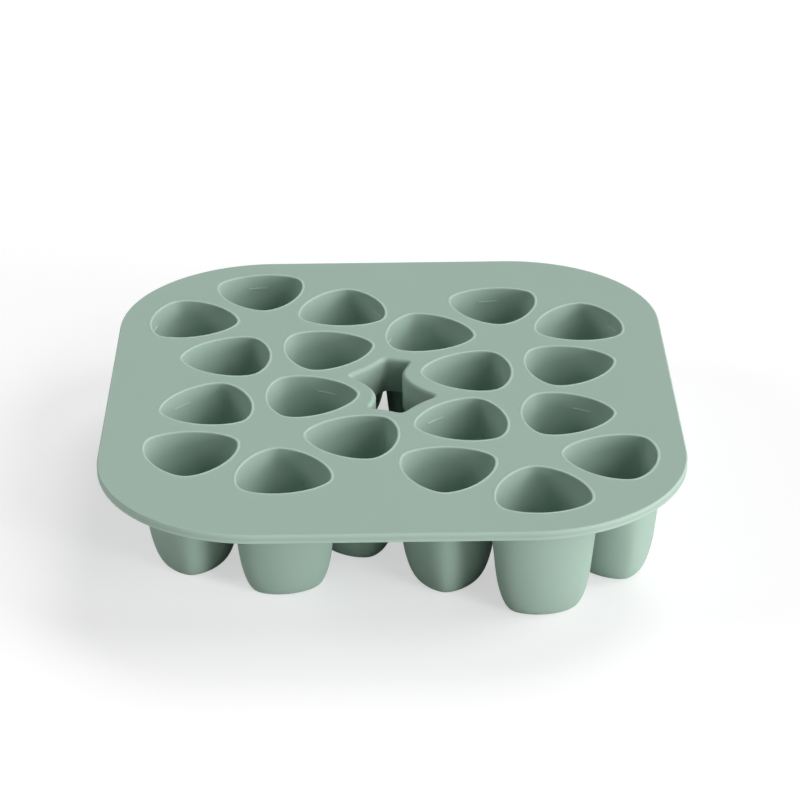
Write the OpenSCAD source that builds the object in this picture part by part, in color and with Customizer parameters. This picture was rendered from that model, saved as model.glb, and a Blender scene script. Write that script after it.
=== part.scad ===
// Freezer tray for portions of baby food.
// The tray is one soft silicone moulding: a flat deck with a rounded-square
// outline, and twenty cups that hang from it in four flowers of five petals.
// Each cup's mouth is a triangle with well rounded corners, one of them
// pointing at the middle of its flower. Between the flowers a star-shaped
// hole goes through the deck, with a short skirt round its edge.
// Millimetres, +Z up. The cups' flat feet stand on Z = 0, and X = Y = 0 is
// the middle of the deck. The back of the tray is +Y.

/* [Tray] */
// Height of the tray, from the cups' flat feet to the top of the deck
tray_h = 41.5; // [30:0.5:60]
// Thickness of the deck and its rim
deck_t = 3.2; // [2:0.1:5]
// Band of plain deck outside the outermost cups, at the two sides
rim_side = 9.6; // [4:0.1:30]
// Band of plain deck outside the outermost cups, at the front and the back
rim_front = 10.2; // [4:0.1:30]
// Radius of the deck's four corners, seen from above
corner_r = 55.5; // [20:0.5:70]

/* [Cups] */
// Half the width of a cup's mouth, before its corners
cup_r = 16.6; // [12:0.1:22]
// How much further the mouth reaches at its three corners, and less between them
cup_corner = 1.4; // [0.4:0.1:1.6]
// Gap between the mouths of two neighbours in a flower
cup_gap = 4.7; // [4:0.1:12]
// Gap between the two nearest mouths of different flowers
flower_gap = 4.04; // [3.8:0.02:12]
// Thickness of the cups' walls and floors
cup_wall = 2; // [1.2:0.1:2.4]
// Lean of the walls that lets a frozen portion slide out, in degrees
wall_draft = 5.8; // [2:0.1:7]
// Height over which the foot of a cup rounds in
foot_round_h = 15; // [6:0.5:20]
// How far it rounds in over that height
foot_round_in = 3.6; // [1:0.1:6]

/* [Fill marks] */
// Depth of the fill mark's middle below the top of the deck
mark_depth = 5.4; // [4.5:0.1:15]
// Length of the mark along the wall
mark_length = 8; // [4:0.5:12]
// Height of the moulded line
mark_h = 0.6; // [0.4:0.1:1]
// How far it stands out from the wall
mark_proud = 0.4; // [0.2:0.1:0.8]

/* [Star hole] */
// Band of deck left between the hole and the mouths around it
star_web = 6.1; // [5:0.1:8]
// Wall thickness of the skirt that hangs round the hole
skirt_wall = 2; // [1:0.1:2.4]
// Depth of the skirt's lower edge below the top of the deck
skirt_depth = 13.5; // [6:0.5:25]

/* [Hidden] */
silicone_green = [0.62, 0.70, 0.65];

// The flowers: name, middle as shares of the flowers' spread, and the
// direction of the first petal in degrees anticlockwise from +X.
FLOWERS = [
    ["back_left", [-1.48, 1.72], 26],
    ["back_right", [1.435, 1.235], 25],
    ["front_right", [1.52, -1.65], 205],
    ["front_left", [-1.415, -1.145], 208],
];
PETALS = 5;
petal_turn = 360 / PETALS;
// The two nearest cups of different flowers, as flower and petal counted from
// 0, and the direction in which the first faces the second.
NEAREST = [[0, 0], [1, 2], 331.5];
// The six cups round the star hole, as flower and petal counted from 0, in
// order round it.
STAR_CUPS = [[0, 4], [1, 2], [1, 3], [2, 4], [3, 2], [3, 3]];
// The hole stands this far from the even spacing between those cups.
star_shift = [-0.2, -0.9];

// Points on an outline of a cup. A multiple of 3, so each corner has one.
OUTLINE_POINTS = 30;
outline_step = 360 / OUTLINE_POINTS;
// Steps in the curve at the foot of a cup.
foot_step = 18;
// How far the fill mark's root reaches into the wall behind it.
mark_root = 0.8;

// The mouth's outline is given by how far it reaches in each direction.
// Grown, it leaves an even gap all round. Drawn in, its corners shrink with
// it, so they stay round.
function reach(turn) = cup_r + cup_corner * cos(3 * turn);
function outline_point(turn, grow) =
    let (
        corner = cup_corner * min(1, 1 + grow / cup_r),
        out = cup_r + grow + corner * cos(3 * turn),
        along = -3 * corner * sin(3 * turn)
    )
    [out * cos(turn) - along * sin(turn), out * sin(turn) + along * cos(turn)];
function outline(grow) =
    [for (k = [0 : OUTLINE_POINTS - 1]) outline_point(k * outline_step, grow)];

// Petals stand on a circle whose radius leaves cup_gap between neighbours.
// They face each other at this angle from the corner at the flower's middle.
facing = 90 - petal_turn / 2;
flower_r = (reach(facing) + cup_gap / 2) / sin(petal_turn / 2);

// A cup's inner corner points at its flower's middle. That direction, and the
// way from that middle to the cup's own:
function corner_turn(flower, k) = FLOWERS[flower][2] + k * petal_turn + 180;
function petal_way(flower, k) =
    let (turn = corner_turn(flower, k)) -flower_r * [cos(turn), sin(turn)];

// The flowers spread until flower_gap is left between their two nearest cups.
flower_spread =
    let (
        a = NEAREST[0], b = NEAREST[1], turn = NEAREST[2], across = [cos(turn), sin(turn)],
        reach_a = reach(turn - corner_turn(a[0], a[1])),
        reach_b = reach(turn + 180 - corner_turn(b[0], b[1])),
        way = petal_way(b[0], b[1]) - petal_way(a[0], a[1])
    )
    (flower_gap + reach_a + reach_b - way * across)
    / ((FLOWERS[b[0]][1] - FLOWERS[a[0]][1]) * across);

// Every cup as [x, y, direction of its inner corner].
function petal(flower, k) =
    let (middle = FLOWERS[flower][1] * flower_spread + petal_way(flower, k))
    [middle.x, middle.y, corner_turn(flower, k)];
CUPS = [for (flower = [0 : len(FLOWERS) - 1], k = [0 : PETALS - 1]) petal(flower, k)];
CUP_NAMES = [for (flower = FLOWERS, k = [1 : PETALS]) str("cup_", flower[0], "_", k)];

// The deck reaches past the outermost mouths by its plain band.
function reach_towards(cup, direction) = reach(direction - cup[2]);
tray_w = 2 * (rim_side + max([for (c = CUPS) abs(c.x) + reach_towards(c, c.x > 0 ? 0 : 180)]));
tray_d = 2 * (rim_front + max([for (c = CUPS) abs(c.y) + reach_towards(c, c.y > 0 ? 90 : 270)]));
deck_under = tray_h - deck_t;

// How far a cup's wall has drawn in at a depth below the deck's top, where
// its foot lies foot_depth below that top.
function draft_in(depth) = depth * tan(wall_draft);
function foot_in(depth, foot_depth) =
    let (share = max(0, (depth - foot_depth + foot_round_h) / foot_round_h))
    foot_round_in * (1 - sqrt(max(0, 1 - share * share)));
function drawn_in(depth, foot_depth) = draft_in(depth) + foot_in(depth, foot_depth);

// Depths of the rings of points on a skin of the cup, from the deck down.
function ring_depths(foot_depth) = concat(
    [deck_t],
    [for (a = [0 : foot_step : 90]) foot_depth - foot_round_h * (1 - sin(a))]);

cavity_depth = tray_h - cup_wall;
wall_outside = cup_wall / cos(wall_draft);
INNER_RINGS = [for (depth = ring_depths(cavity_depth)) [depth, -drawn_in(depth, cavity_depth)]];
OUTER_RINGS = [for (depth = ring_depths(tray_h)) [depth, wall_outside - drawn_in(depth, tray_h)]];

function reversed(list) = [for (k = [len(list) - 1 : -1 : 0]) list[k]];

// A skin through rings of [depth, grow], closed by a flat cap at both ends.
module skin(rings) {
    n = OUTLINE_POINTS;
    last = len(rings) - 1;
    points = [for (ring = rings, p = outline(ring[1])) [p.x, p.y, tray_h - ring[0]]];
    bands = [for (r = [0 : last - 1], k = [0 : n - 1])
        let (a = r * n + k, b = r * n + (k + 1) % n)
        each [[a, b, b + n], [a, b + n, a + n]]];
    caps = [[for (k = [n - 1 : -1 : 0]) k], [for (k = [0 : n - 1]) last * n + k]];
    polyhedron(points, concat(bands, caps), convexity = 4);
}

// One cup: the wall and floor below the deck, with its fill mark inside, on
// the wall that faces away from the flower's middle.
module cup(place) {
    half_turn = mark_length / 2 / (cup_r + 8 * cup_corner) * 180 / PI;
    wall_at_mark = -drawn_in(mark_depth, cavity_depth);
    root = [for (k = [-1 : 1]) outline_point(180 + k * half_turn, wall_at_mark + mark_root)];
    face = [for (k = [1 : -1 : -1]) outline_point(180 + k * half_turn, wall_at_mark - mark_proud)];
    color(silicone_green)
    translate([place.x, place.y, 0])
    rotate(place[2]) {
        skin(concat(reversed(INNER_RINGS), OUTER_RINGS));
        translate([0, 0, tray_h - mark_depth - mark_h / 2])
        linear_extrude(mark_h) polygon(concat(root, face));
    }
}

// The outline of one cup's mouth on the deck.
module mouth(place, grow) {
    translate([place.x, place.y]) rotate(place[2]) polygon(outline(grow));
}

// The star: what the six cups round it leave free, with a web along each.
module star() {
    around = [for (s = STAR_CUPS) CUPS[s[0] * PETALS + s[1]]];
    translate(star_shift)
    difference() {
        polygon([for (place = around) [place.x, place.y]]);
        for (place = around) mouth(place, star_web);
    }
}

module deck_outline() {
    square([tray_w - 2 * corner_r, tray_d], center = true);
    square([tray_w, tray_d - 2 * corner_r], center = true);
    for (side = [-1, 1], end = [-1, 1])
        translate([side * (tray_w / 2 - corner_r), end * (tray_d / 2 - corner_r)])
        circle(corner_r, $fn = 120);
}

module deck() {
    color(silicone_green)
    translate([0, 0, deck_under])
    linear_extrude(deck_t)
    difference() {
        deck_outline();
        for (place = CUPS) mouth(place, -draft_in(deck_t));
        star();
    }
}

// The skirt stiffens the edge of the star hole from below.
module hole_skirt() {
    color(silicone_green)
    translate([0, 0, tray_h - skirt_depth])
    linear_extrude(skirt_depth - deck_t)
    difference() {
        offset(r = skirt_wall, $fn = 24) star();
        star();
    }
}

deck();
hole_skirt();
for (k = [0 : len(CUPS) - 1])
    cup(CUPS[k]);
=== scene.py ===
"""Looks of a freezer tray for portions of baby food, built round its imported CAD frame.

The tray is one soft silicone moulding: a flat deck with a star-shaped hole, a short
skirt round the hole, and twenty cups that hang from the deck in four flowers of five.
"""
import math

import bmesh
import bpy
import numpy as np
from mathutils import Matrix, Vector


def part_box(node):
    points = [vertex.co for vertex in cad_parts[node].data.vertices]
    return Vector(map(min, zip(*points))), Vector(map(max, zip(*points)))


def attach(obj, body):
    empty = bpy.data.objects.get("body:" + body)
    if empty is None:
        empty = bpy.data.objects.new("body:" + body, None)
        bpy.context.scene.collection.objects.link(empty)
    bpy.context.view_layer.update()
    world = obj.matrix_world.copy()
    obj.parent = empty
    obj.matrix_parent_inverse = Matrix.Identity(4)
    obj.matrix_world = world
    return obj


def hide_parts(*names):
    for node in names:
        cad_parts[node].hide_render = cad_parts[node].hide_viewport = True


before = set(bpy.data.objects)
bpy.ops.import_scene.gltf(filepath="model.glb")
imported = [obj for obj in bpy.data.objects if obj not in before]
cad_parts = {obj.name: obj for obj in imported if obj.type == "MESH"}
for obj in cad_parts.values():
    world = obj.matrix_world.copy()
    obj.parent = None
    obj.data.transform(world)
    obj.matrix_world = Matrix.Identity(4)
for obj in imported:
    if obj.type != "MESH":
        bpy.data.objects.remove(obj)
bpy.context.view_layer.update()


# ---------------------------------------------------------------- camera
# A long lens, a good arm's length in front of the tray, looks down on it at a little
# under thirty degrees.
MM = 0.001
SENSOR_WIDTH = 36
FOCAL_LENGTH = 128.0
CAMERA_PLACE = Vector((-3.3, -903.2, 494.75)) * MM
CAMERA_DOWN = math.radians(26.946)
CAMERA_YAW = math.radians(-0.411)
CAMERA_ROLL = math.radians(-0.539)

lens = bpy.data.cameras.new("camera")
lens.sensor_width = SENSOR_WIDTH
lens.lens = FOCAL_LENGTH
camera = bpy.data.objects.new("camera", lens)
camera.matrix_world = (
    Matrix.Translation(CAMERA_PLACE)
    @ Matrix.Rotation(CAMERA_YAW, 4, "Z")
    @ Matrix.Rotation(math.pi / 2 - CAMERA_DOWN, 4, "X")
    @ Matrix.Rotation(CAMERA_ROLL, 4, "Z")
)
bpy.context.scene.collection.objects.link(camera)
bpy.context.scene.camera = camera
bpy.context.scene.view_settings.view_transform = "Standard"


# ---------------------------------------------------------------- paper sweep and light
# White paper, in a white room that gives a little light of its own. Softboxes stand at
# the right, in front, low in front and at the left, and a higher one behind. The paper
# is seen white, and still takes the tray's soft shadow.
WHITE = (1, 1, 1, 1)
ROOM_LIGHT = 0.1
SOFTBOXES = {  # strength, then spread, height and side in degrees: 0 right, 90 behind
    "softbox_right": (1.13, 30, 38, 0),
    "softbox_front": (0.77, 25, 28, 315),
    "softbox_front_low": (1.62, 20, 8, 323),
    "softbox_left": (0.69, 25, 28, 180),
    "softbox_behind": (1.21, 30, 50, 60),
}
PAPER_REACH = 3.0
PAPER_DROP = 0.02 * MM  # keeps the paper just clear of the cups' feet
PAPER_TONE = (0.9, 0.9, 0.9, 1)  # what it throws back at the tray
PAPER_GLOW = 0.5  # share of the paper's own white in what the camera sees of it
PAPER_WHITE = 1.12


def add_node(tree, kind, inputs=(), **settings):
    """Adds a node with its settings, and fills its inputs with values or links."""
    node = tree.nodes.new(kind)
    for name, value in settings.items():
        setattr(node, name, value)
    for name, value in dict(inputs).items():
        if isinstance(value, bpy.types.NodeSocket):
            tree.links.new(value, node.inputs[name])
        else:
            node.inputs[name].default_value = value
    return node


world = bpy.data.worlds.new("white_room")
bpy.context.scene.world = world
world.use_nodes = True
room = world.node_tree
room.nodes.clear()
ray = add_node(room, "ShaderNodeLightPath")
# A mix node's inputs go by number: 0 is its factor, 2 and 3 its values, 6 and 7 colours.
strength = add_node(
    room,
    "ShaderNodeMix",
    {0: ray.outputs["Is Camera Ray"], 2: ROOM_LIGHT, 3: 1.0},
)
walls = add_node(
    room, "ShaderNodeBackground", {"Color": WHITE, "Strength": strength.outputs[0]}
)
add_node(room, "ShaderNodeOutputWorld", {"Surface": walls.outputs[0]})

for name, (power, spread, height, side) in SOFTBOXES.items():
    lamp = bpy.data.lights.new(name, "SUN")
    lamp.energy = power
    lamp.angle = math.radians(spread)
    softbox = bpy.data.objects.new(name, lamp)
    softbox.rotation_euler = (0, math.radians(90 - height), math.radians(side))
    bpy.context.scene.collection.objects.link(softbox)

paper = bpy.data.materials.new("white_paper")
paper.use_nodes = True
tree = paper.node_tree
tree.nodes.clear()
ray = add_node(tree, "ShaderNodeLightPath")
tone = add_node(
    tree,
    "ShaderNodeMix",
    {0: ray.outputs["Is Camera Ray"], 6: PAPER_TONE, 7: WHITE},
    data_type="RGBA",
)
share = add_node(
    tree,
    "ShaderNodeMath",
    {0: ray.outputs["Is Camera Ray"], 1: PAPER_GLOW},
    operation="MULTIPLY",
)
shaded = add_node(tree, "ShaderNodeBsdfDiffuse", {"Color": tone.outputs[2]})
plain = add_node(tree, "ShaderNodeEmission", {"Color": WHITE, "Strength": PAPER_WHITE})
sheet = add_node(
    tree,
    "ShaderNodeMixShader",
    {0: share.outputs[0], 1: shaded.outputs[0], 2: plain.outputs[0]},
)
add_node(tree, "ShaderNodeOutputMaterial", {"Surface": sheet.outputs[0]})

bm = bmesh.new()
bmesh.ops.create_grid(bm, x_segments=1, y_segments=1, size=PAPER_REACH)
floor_mesh = bpy.data.meshes.new("paper_sweep")
bm.to_mesh(floor_mesh)
bm.free()
floor_mesh.materials.append(paper)
floor = bpy.data.objects.new("paper_sweep", floor_mesh)
floor.location.z = -PAPER_DROP
bpy.context.scene.collection.objects.link(floor)


# ---------------------------------------------------------------- deck
# A flat sheet of sage-green silicone, moulded in one with the cups. Its rim and the star
# hole have softly rounded edges from the mould, and a fine raised lip runs round the
# mouth of each cup.
CUP_R = 16.6 * MM
CUP_CORNER = 1.4 * MM  # how much further a mouth reaches at its three corners
CUP_GAP = 4.7 * MM
DRAFT = math.tan(math.radians(5.8))  # lean of the cups' walls
MOUTH_STEP = 3.75  # degrees between the points of a cup's outline
FLOWERS = {  # middle in flower radii from the tray's middle, first petal in degrees
    "back_left": ((-1.48, 1.72), 26),
    "back_right": ((1.435, 1.235), 25),
    "front_right": ((1.52, -1.65), 205),
    "front_left": ((-1.415, -1.145), 208),
}
PETALS = 5
PETAL_TURN = 2 * math.pi / PETALS

STAR_CUPS = (  # the six cups round the star hole
    "cup_back_left_5",
    "cup_back_right_3",
    "cup_back_right_4",
    "cup_front_right_5",
    "cup_front_left_3",
    "cup_front_left_4",
)
STAR_WEB = 6.1 * MM  # deck left between the hole and the mouths around it
STAR_SHIFT = Vector((-0.2, -0.9)) * MM
STAR_SOFTNESS = 1.4 * MM  # rounds the star's points
STAR_SIDE_TURN = 2.0  # degrees between the sides on which a mouth's reach is taken
STAR_RAY_TURN = 0.25  # degrees between the rays that look for the star's outline
STAR_RAY_LENGTH = 40  # mm
STAR_RAY_STEP = 0.1  # mm
STAR_STEP = 0.4 * MM  # between the outline's points, which are spread evenly

CORNER_R = 55.5 * MM
LIP_WIDTH = 1.1 * MM  # the fine raised lip round each mouth
LIP_IN = 0.7 * MM  # how far the lip's inner side stands inside the cup's outline
LIP_HEIGHT = 0.1 * MM
LIP_TURN = 0.15 * MM  # height over which the lip turns down into the wall
LIP_STEPS = 5
# The lip is painted paler as a highlight, which fades into the wall below it. This painted
# highlight stands in for the light that its thin edge catches and lets through.
LIP_HIGHLIGHT = 0.55
LIP_HIGHLIGHT_RATE = 3  # the lip is fully pale after a third of its outer slope
HIGHLIGHT_FADE = 0.5 * MM  # beside an edge, the paler look of thin rubber fades over this
RIM_ROUND = 0.5 * MM
RIM_HIGHLIGHT = 0.45
STAR_ROUND = 1.3 * MM
STAR_HIGHLIGHT = 0.05
FLAT_EDGE = 0.1 * MM  # flat strip beside a rounded edge, so that the deck shades flat
ROUND_STEPS = 5
CORNER_STEPS = 40

MARK_LENGTH = 8.0 * MM
MARK_WALL_R = CUP_R + 8 * CUP_CORNER  # radius of the wall's curve at the fill mark
MARK_TURN = MARK_LENGTH / 2 / MARK_WALL_R
MARK_END_STEPS = (2.4, 1.2, 0.4, 0)  # degrees before each end, where the line tapers

deck_low, deck_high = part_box("deck")
deck_top, deck_under = deck_high.z, deck_low.z
deck_t = deck_top - deck_under


def reach(turn):
    """How far a mouth reaches from its middle, in the direction turn."""
    return CUP_R + CUP_CORNER * math.cos(3 * turn)


def mouth_point(turn, grow):
    """A point on a cup's outline.

    Grown, the outline leaves an even gap all round. Drawn in, its corners shrink with it,
    so they stay round.
    """
    corner = CUP_CORNER * min(1, 1 + grow / CUP_R)
    out = CUP_R + grow + corner * math.cos(3 * turn)
    along = -3 * corner * math.sin(3 * turn)
    c, s = math.cos(turn), math.sin(turn)
    return Vector((out * c - along * s, out * s + along * c))


# The turns at which a cup's outline has a point. More stand at the fill mark's ends.
mouth_turns = sorted(
    [math.radians(MOUTH_STEP * k) for k in range(round(360 / MOUTH_STEP))]
    + [
        math.pi + side * (MARK_TURN - math.radians(step))
        for side in (-1, 1)
        for step in MARK_END_STEPS
    ]
)

# Each cup's middle, and the direction of its inner corner.
facing = math.pi / 2 - PETAL_TURN / 2
flower_r = (reach(facing) + CUP_GAP / 2) / math.sin(PETAL_TURN / 2)
cups = {}
for flower, (middle, first) in FLOWERS.items():
    for k in range(PETALS):
        turn = math.radians(first) + k * PETAL_TURN
        petal = Vector((math.cos(turn), math.sin(turn)))
        cup_middle = (Vector(middle) + petal) * flower_r
        cups[f"cup_{flower}_{k + 1}"] = (cup_middle, turn + math.pi)


def star_points():
    """The star's outline: the points that lie STAR_WEB from the nearest of six mouths.

    Near its points two mouths are equally near, and their distances are blended.
    """
    around = [cups[name] for name in STAR_CUPS]
    turns = np.radians(np.arange(0, 360, STAR_SIDE_TURN))
    sides = np.stack([np.cos(turns), np.sin(turns)])
    reaches = CUP_R + CUP_CORNER * np.cos(3 * turns)

    def clearance(points):
        """How far points lie from the mouths, taken over all sides of each mouth."""
        near = 0
        for middle, turn in around:
            away = points - np.array(middle + STAR_SHIFT)
            c, s = math.cos(turn), math.sin(turn)
            away = away @ np.array([[c, -s], [s, c]])
            near += np.exp(-((away @ sides - reaches).max(1)) / STAR_SOFTNESS)
        return -STAR_SOFTNESS * np.log(near)

    middle = np.mean([place[0] for place in around], axis=0) + np.array(STAR_SHIFT)
    distances = np.arange(0, STAR_RAY_LENGTH, STAR_RAY_STEP) * MM
    edge = []
    for angle in np.radians(np.arange(0, 360, STAR_RAY_TURN)):
        line = middle + distances[:, None] * np.array([math.cos(angle), math.sin(angle)])
        spare = clearance(line) - STAR_WEB
        k = int(np.argmax(spare < 0))
        share = spare[k - 1] / (spare[k - 1] - spare[k])
        edge.append(line[k - 1] + share * (line[k] - line[k - 1]))
    edge = np.array(edge + edge[:1])
    walked = np.r_[0, np.cumsum(np.linalg.norm(np.diff(edge, axis=0), axis=1))]
    count = int(walked[-1] / STAR_STEP)
    even = np.arange(count) * walked[-1] / count
    return np.stack([np.interp(even, walked, edge[:, k]) for k in (0, 1)], axis=1)


star = star_points()
along = np.roll(star, -1, axis=0) - np.roll(star, 1, axis=0)
star_out = np.stack([along[:, 1], -along[:, 0]], axis=1)
star_out /= np.linalg.norm(star_out, axis=1)[:, None]


def star_point(step, grow):
    """A point on the star's outline, moved out over the deck by grow."""
    step = round(step)
    return Vector(star[step] + star_out[step] * grow)


def rim_point(step, grow):
    """A point on the deck's rounded square, counted round its four corners."""
    corner, k = divmod(round(step), CORNER_STEPS + 1)
    turn = (corner + k / CORNER_STEPS) * math.pi / 2
    side = Vector((1 if corner in (0, 3) else -1, 1 if corner in (0, 1) else -1))
    middle = Vector((deck_high.x - CORNER_R, deck_high.y - CORNER_R)) * side
    return middle + (CORNER_R + grow) * Vector((math.cos(turn), math.sin(turn)))


def start_loop(bm, point, steps, grow, z):
    """Lays a closed loop of edges, point by point. Each corner keeps its step."""
    for name in ("step", "painted_highlight"):
        if bm.verts.layers.float.get(name) is None:
            bm.verts.layers.float.new(name)
    layer = bm.verts.layers.float.get("step")
    corners = bmesh.ops.create_circle(bm, segments=len(steps), radius=1)["verts"]
    for corner, step in zip(corners, steps):
        corner[layer] = step
        corner.co = (*point(step, grow), z)
    return list({edge for corner in corners for edge in corner.link_edges})


def draw_skin(bm, loop, point, rings):
    """Draws the loop out to each ring of (grow, z, painted highlight), and returns the last
    loop.

    The painted highlight may be left out where it is 0.
    """
    layer = bm.verts.layers.float.get("step")
    painted_highlight = bm.verts.layers.float.get("painted_highlight")
    for grow, z, *highlight_share in rings:
        made = bmesh.ops.extrude_edge_only(bm, edges=loop)["geom"]
        corners = {item for item in made if isinstance(item, bmesh.types.BMVert)}
        loop = [
            item
            for item in made
            if isinstance(item, bmesh.types.BMEdge) and set(item.verts) <= corners
        ]
        for corner in corners:
            corner.co = (*point(corner[layer], grow), z)
            corner[painted_highlight] = highlight_share[0] if highlight_share else 0
    return loop


def edge_round(size):
    """(distance in from the wall, depth) of an edge rounded from a flat face to a wall."""
    turns = [k / ROUND_STEPS * math.pi / 2 for k in range(ROUND_STEPS + 1)]
    return [(size - size * math.sin(t), size * (1 - math.cos(t))) for t in turns]


def lip_rings():
    """(grow, depth, painted highlight) of the lip: up from the deck, over it, and into the
    wall.
    """
    half = LIP_WIDTH / 2
    ridge = half - LIP_IN
    rings = []
    for k in range(LIP_STEPS + 1):
        share = k / LIP_STEPS
        rise = LIP_HEIGHT * (1 - math.cos(math.pi * share)) / 2
        highlight_share = LIP_HIGHLIGHT * min(1, LIP_HIGHLIGHT_RATE * share)
        rings.append((ridge + half * (1 - share), -rise, highlight_share))
    for k in range(1, LIP_STEPS + 1):
        turn = math.pi / 2 * k / LIP_STEPS
        drop = LIP_TURN * (1 - math.cos(turn))
        rings.append((ridge - half * math.sin(turn), drop - LIP_HEIGHT, LIP_HIGHLIGHT))
    return rings + [(-LIP_IN, LIP_TURN - LIP_HEIGHT + HIGHLIGHT_FADE)]


def sharpen(loop):
    """Marks a seam to the next piece, so that each side shades as its own wall."""
    for edge in loop:
        edge.smooth = False


bm = bmesh.new()
top_edges, under_edges = [], []

# The rim's rounded edges are painted paler: a painted highlight.
rim_steps = range(4 * (CORNER_STEPS + 1))
turned = edge_round(RIM_ROUND)
loop = start_loop(bm, rim_point, rim_steps, -RIM_ROUND - FLAT_EDGE, deck_top)
top_edges += loop
rings = [(-inward, deck_top - depth, RIM_HIGHLIGHT) for inward, depth in turned]
rings += [(0, deck_top - deck_t / 2)]
rings += [(-inward, deck_under + depth, RIM_HIGHLIGHT) for inward, depth in reversed(turned)]
rings += [(-RIM_ROUND - FLAT_EDGE, deck_under)]
under_edges += draw_skin(bm, loop, rim_point, rings)

# The star's rounded edge gets a faint painted highlight, which fades into its wall.
star_steps = range(len(star))
turned = edge_round(STAR_ROUND)
loop = start_loop(bm, star_point, star_steps, STAR_ROUND + FLAT_EDGE, deck_top)
top_edges += loop
rings = [(inward, deck_top - depth, STAR_HIGHLIGHT) for inward, depth in turned]
rings += [(0, deck_top - STAR_ROUND - HIGHLIGHT_FADE), (0, deck_under)]
loop = draw_skin(bm, loop, star_point, rings)
sharpen(loop)
under_edges += loop

lip = lip_rings()
for middle, turn in cups.values():
    spin = Matrix.Rotation(turn, 2)

    def place(step, grow):
        """A point on this cup's own outline, where the cup stands in the tray."""
        return middle + spin @ mouth_point(step, grow)

    loop = start_loop(bm, place, mouth_turns, lip[0][0] + FLAT_EDGE, deck_top)
    top_edges += loop
    rings = [(grow, deck_top - depth, *highlight_share) for grow, depth, *highlight_share in lip]
    loop = draw_skin(bm, loop, place, rings + [(-LIP_IN, deck_under)])
    sharpen(loop)
    under_edges += loop

for edges in (top_edges, under_edges):
    bmesh.ops.triangle_fill(bm, use_beauty=True, edges=edges)
bmesh.ops.recalc_face_normals(bm, faces=bm.faces)


def linear(hex_colour):
    """An sRGB hex colour as the linear RGBA that Blender's sockets take."""
    shares = [int(hex_colour[k : k + 2], 16) / 255 for k in (1, 3, 5)]
    curved = [c / 12.92 if c <= 0.04045 else ((c + 0.055) / 1.055) ** 2.4 for c in shares]
    return (*curved, 1)


# Platinum-cured silicone rubber, pressed in a lightly blasted mould. That leaves it matt,
# with a very fine grain and only a wide, weak highlight.
SAGE = "#A0B7AB"
SAGE_PALE = "#A3BAAE"
# Painted highlight: a paler sage, painted on the rim, the lips, the star's edge and the
# fill marks. It stands in for the light that these thin, rounded edges catch and let
# through.
SAGE_HIGHLIGHT = "#BED4C8"  # where the rubber is thin, light comes back out of it sooner
CLOUDS = 30 * MM  # size of the faint clouds of tone
GRAIN = 0.35 * MM  # the real one is finer; this is as coarse as it needs to be to show
GRAIN_DEPTH = 0.02 * MM
GRAIN_BUMP = 0.25
MATT_FROM, MATT_TO = 0.56, 0.68
SILICONE_IOR = 1.41
SILICONE_GLOSS = 0.3

silicone = bpy.data.materials.new("moulded_silicone")
silicone.use_nodes = True
tree = silicone.node_tree
tree.nodes.clear()
place_on_piece = add_node(tree, "ShaderNodeTexCoord").outputs["Object"]
clouds = add_node(
    tree,
    "ShaderNodeTexNoise",
    {"Vector": place_on_piece, "Scale": 1 / CLOUDS, "Detail": 3.0, "Roughness": 0.5},
)
grain = add_node(
    tree,
    "ShaderNodeTexNoise",
    {"Vector": place_on_piece, "Scale": 1 / GRAIN, "Detail": 2.0, "Roughness": 0.6},
)
colour = add_node(
    tree,
    "ShaderNodeMix",
    {0: clouds.outputs[0], 6: linear(SAGE), 7: linear(SAGE_PALE)},
    data_type="RGBA",
)
# A mesh attribute gives how much painted highlight each point gets.
highlight_mask = add_node(tree, "ShaderNodeAttribute", attribute_name="painted_highlight")
colour = add_node(
    tree,
    "ShaderNodeMix",
    {0: highlight_mask.outputs["Fac"], 6: colour.outputs[2], 7: linear(SAGE_HIGHLIGHT)},
    data_type="RGBA",
)
roughness = add_node(
    tree,
    "ShaderNodeMapRange",
    {"Value": grain.outputs[0], "To Min": MATT_FROM, "To Max": MATT_TO},
)
texture = add_node(
    tree,
    "ShaderNodeBump",
    {"Height": grain.outputs[0], "Strength": GRAIN_BUMP, "Distance": GRAIN_DEPTH},
)
surface = add_node(
    tree,
    "ShaderNodeBsdfPrincipled",
    {
        "Base Color": colour.outputs[2],
        "Roughness": roughness.outputs[0],
        "IOR": SILICONE_IOR,
        "Specular IOR Level": SILICONE_GLOSS,
        "Normal": texture.outputs[0],
    },
)
add_node(tree, "ShaderNodeOutputMaterial", {"Surface": surface.outputs[0]})


def make_piece(bm, name, node):
    """Makes the finished mesh a piece that stands for a CAD node and rides on its body."""
    for face in bm.faces:
        face.smooth = True
    mesh = bpy.data.meshes.new(name)
    bm.to_mesh(mesh)
    bm.free()
    mesh.materials.append(silicone)
    piece = bpy.data.objects.new(name, mesh)
    bpy.context.scene.collection.objects.link(piece)
    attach(piece, "root")
    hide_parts(node)


make_piece(bm, "moulded_deck", "deck")


# ---------------------------------------------------------------- skirt of the star hole
# A short wall of the same silicone, moulded under the deck round the star hole and flush
# with the hole's edge. Its lower edge is rounded, and a small fillet joins it to the deck.
SKIRT_WALL = 2.0 * MM
SKIRT_ROUND = 0.6 * MM
FILLET = 0.4 * MM
MERGE = 0.001 * MM  # points nearer than this become one

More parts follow.
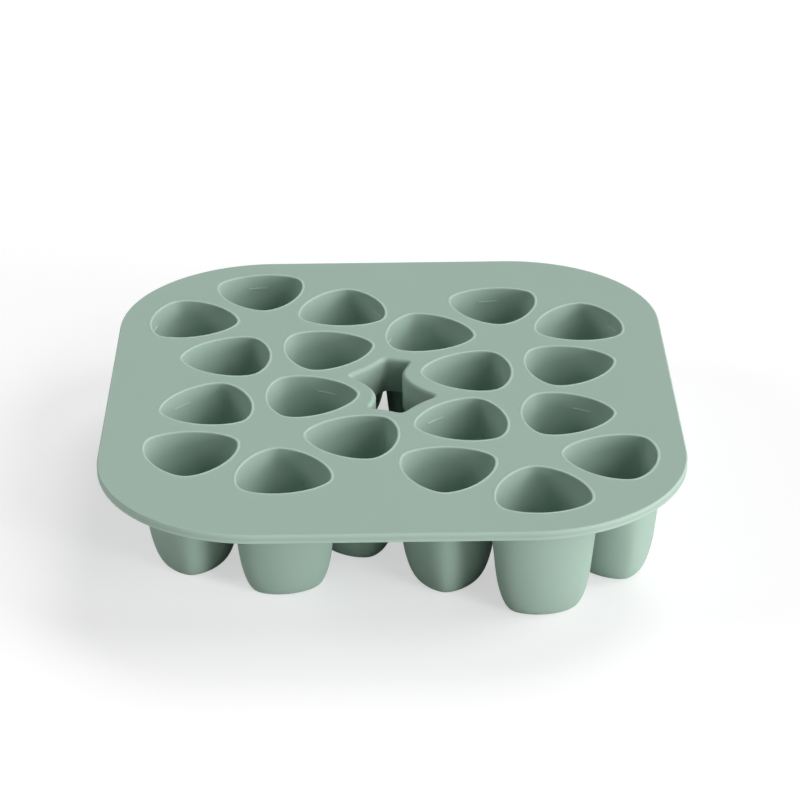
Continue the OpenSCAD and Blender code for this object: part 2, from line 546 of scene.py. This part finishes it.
skirt_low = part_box("hole_skirt")[0]
turned = edge_round(SKIRT_ROUND)
fillet = edge_round(FILLET)
bm = bmesh.new()
inner_seam = start_loop(bm, star_point, star_steps, 0, deck_under)
rings = [(inward, skirt_low.z + depth) for inward, depth in reversed(turned)]
rings += [(SKIRT_WALL - inward, skirt_low.z + depth) for inward, depth in turned]
rings += [(SKIRT_WALL + inward, deck_under - depth) for inward, depth in reversed(fillet)]
outer_seam = draw_skin(bm, inner_seam, star_point, rings)
sharpen(inner_seam + outer_seam)
draw_skin(bm, outer_seam, star_point, [(0, deck_under)])
bmesh.ops.remove_doubles(bm, verts=bm.verts, dist=MERGE)
bmesh.ops.recalc_face_normals(bm, faces=bm.faces)
make_piece(bm, "moulded_hole_skirt", "hole_skirt")


# ---------------------------------------------------------------- cups
# Twenty equal cups of the same silicone, moulded in one with the deck. Each is a thin
# wall that leans in, so that a frozen portion can be pushed out, and curves in to a flat
# foot. A fine raised line inside is its fill mark.
CUP_WALL = 2.0 * MM
FOOT_ROUND_H = 15.0 * MM
FOOT_ROUND_IN = 3.6 * MM
FOOT_STEPS = 16
WALL_SOFTENING = 4  # how quickly the wall goes over from the lip into its lean
FLAT_GROWTHS = (0.15, 0.4, 0.7)  # rings across the flat foot, as shares of its way out
MARK_DEPTH = 5.4 * MM
MARK_H = 0.5 * MM
MARK_PROUD = 0.3 * MM
MARK_HIGHLIGHT = 0.8
MARK_RINGS = (-1.15, -1, -0.93, -0.7, -0.4, 0, 0.4, 0.7, 0.93, 1, 1.15)  # in half heights
INSIDE_DEPTHS = (7, 9, 11.5, 14.5, 18)  # mm, between the fill mark and the bend


def wall_rings(foot_depth, thickness, extra, start=0):
    """(grow, depth) of a cup's wall from the deck down to its flat foot and middle.

    The wall has come in by start at its top, and goes over softly into its own lean.
    """

    def grow_at(depth):
        """How far the wall stands out from the mouth's outline at a depth."""
        share = max(0, (depth - foot_depth + FOOT_ROUND_H) / FOOT_ROUND_H)
        curved_in = FOOT_ROUND_IN * (1 - math.sqrt(max(0, 1 - share * share)))
        leaned_in = (depth * DRAFT) ** WALL_SOFTENING + start**WALL_SOFTENING
        return thickness - leaned_in ** (1 / WALL_SOFTENING) - curved_in

    bend = foot_depth - FOOT_ROUND_H
    depths = [deck_t] + list(extra) + [bend]
    depths += [
        bend + FOOT_ROUND_H * math.sin(math.pi / 2 * k / FOOT_STEPS)
        for k in range(1, FOOT_STEPS + 1)
    ]
    rings = [(grow_at(depth), depth) for depth in depths]
    edge = rings[-1][0]
    flat = [-CUP_R + (CUP_R + edge) * share for share in reversed(FLAT_GROWTHS)]
    return rings + [(grow, foot_depth) for grow in flat + [-CUP_R]]


foot_depth = deck_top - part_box("cup_back_left_1")[0].z
wall_across = CUP_WALL / math.cos(math.atan(DRAFT))
mark_depths = [MARK_DEPTH + share * MARK_H / 2 for share in MARK_RINGS]
inside_depths = mark_depths + [depth * MM for depth in INSIDE_DEPTHS]
inside = wall_rings(foot_depth - CUP_WALL, 0, inside_depths, LIP_IN)
outside = wall_rings(foot_depth, wall_across, [])
outer_grow = outside[0][0]
outside[:1] = [(outer_grow + inward, deck_t + depth) for inward, depth in fillet]

bm = bmesh.new()
grow, depth = inside[-1]
loop = start_loop(bm, mouth_point, mouth_turns, grow, deck_top - depth)
rings = [(grow, deck_top - depth) for grow, depth in reversed(inside[:-1])]
inner_seam = draw_skin(bm, loop, mouth_point, rings)
outer_seam = draw_skin(bm, inner_seam, mouth_point, [(outside[0][0], deck_under)])
rings = [(grow, deck_top - depth) for grow, depth in outside[1:]]
draw_skin(bm, outer_seam, mouth_point, rings)
sharpen(inner_seam + outer_seam)

# The fill mark is painted paler where it stands proud: a painted highlight on the raised
# line.
layer = bm.verts.layers.float.get("step")
painted_highlight = bm.verts.layers.float.get("painted_highlight")
for corner in bm.verts:
    up = (deck_top - corner.co.z - MARK_DEPTH) / (MARK_H / 2)
    from_end = MARK_TURN - abs(corner[layer] - math.pi)
    is_inside = corner.co.xy.length < mouth_point(corner[layer], 0).length
    if abs(up) < 1 and from_end > 0 and is_inside:
        end = min(1, from_end / math.radians(MARK_END_STEPS[0]))
        proud = MARK_PROUD * math.sqrt((1 - up * up) * (1 - (1 - end) ** 2))
        turn = corner[layer]
        corner.co.xy -= proud * Vector((math.cos(turn), math.sin(turn)))
        corner[painted_highlight] = MARK_HIGHLIGHT * proud / MARK_PROUD

bmesh.ops.remove_doubles(bm, verts=bm.verts, dist=MERGE)
bmesh.ops.recalc_face_normals(bm, faces=bm.faces)

for name, (middle, turn) in cups.items():
    cup = bm.copy()
    spot = Matrix.Translation((*middle, 0)) @ Matrix.Rotation(turn, 4, "Z")
    bmesh.ops.transform(cup, matrix=spot, verts=cup.verts)
    make_piece(cup, f"moulded_{name}", name)
bm.free()
